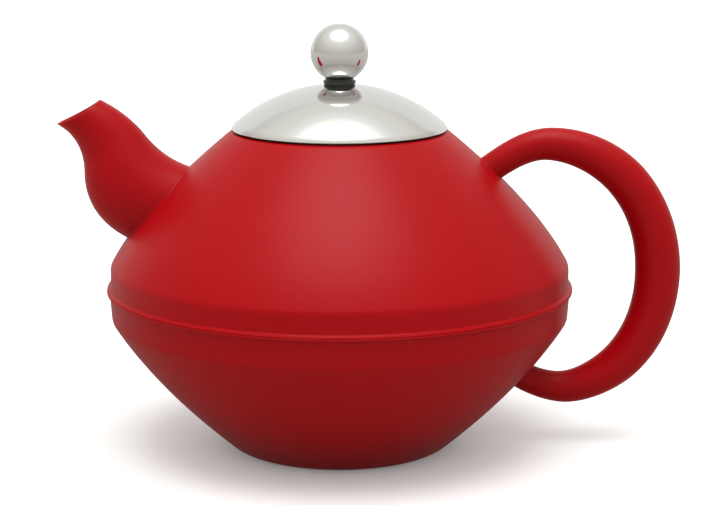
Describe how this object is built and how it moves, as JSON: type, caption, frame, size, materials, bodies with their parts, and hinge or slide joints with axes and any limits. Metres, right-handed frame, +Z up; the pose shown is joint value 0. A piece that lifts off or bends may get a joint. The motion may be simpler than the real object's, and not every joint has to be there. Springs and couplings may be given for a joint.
{
  "type": "teapot",
  "caption": "Double-walled pressed-steel teapot of two shallow cones with a seam lip, curved spout, round tube handle, domed lift-off lid with ball knob and a lift-out infuser.",
  "frame": {"origin": "where the pot's axis meets the plane it rests on", "axes": "+Z up along the pot's axis, spout towards -X, handle towards +X"},
  "size_m": [0.2672, 0.2, 0.1823],
  "materials": {
    "red_coating": "satin to matte red powder coating on sheet steel",
    "polished_steel": "mirror-polished stainless steel",
    "satin_steel": "satin stainless steel, brushed round",
    "black_bush": "moulded black heat-resistant plastic",
    "black_gasket": "black silicone"
  },
  "bodies": {
    "pot": {"outer_upper_shell": "red_coating", "outer_lower_shell": "red_coating", "inner_upper_shell": "satin_steel", "inner_lower_shell": "satin_steel", "throat_tube": "satin_steel", "spout_front_half": "red_coating", "spout_back_half": "red_coating", "handle_front_half": "red_coating", "handle_back_half": "red_coating"},
    "infuser": {"infuser_rim": "satin_steel", "infuser_wall": "satin_steel", "infuser_floor": "satin_steel"},
    "lid": {"lid_dome": "polished_steel", "lid_collar": "satin_steel", "knob_ball": "polished_steel", "knob_bush": "black_bush", "knob_gasket": "black_gasket", "knob_washer": "satin_steel", "knob_spring_washer": "satin_steel", "knob_screw": "satin_steel"}
  },
  "joints": [
    {"name": "infuser_lift", "type": "slide", "parent": "pot", "child": "infuser", "axis": [0, 0, 1], "range_m": [0, 0.11]},
    {"name": "lid_lift", "type": "slide", "parent": "infuser", "child": "lid", "axis": [0, 0, 1], "range_m": [0, 0.08]}
  ]
}
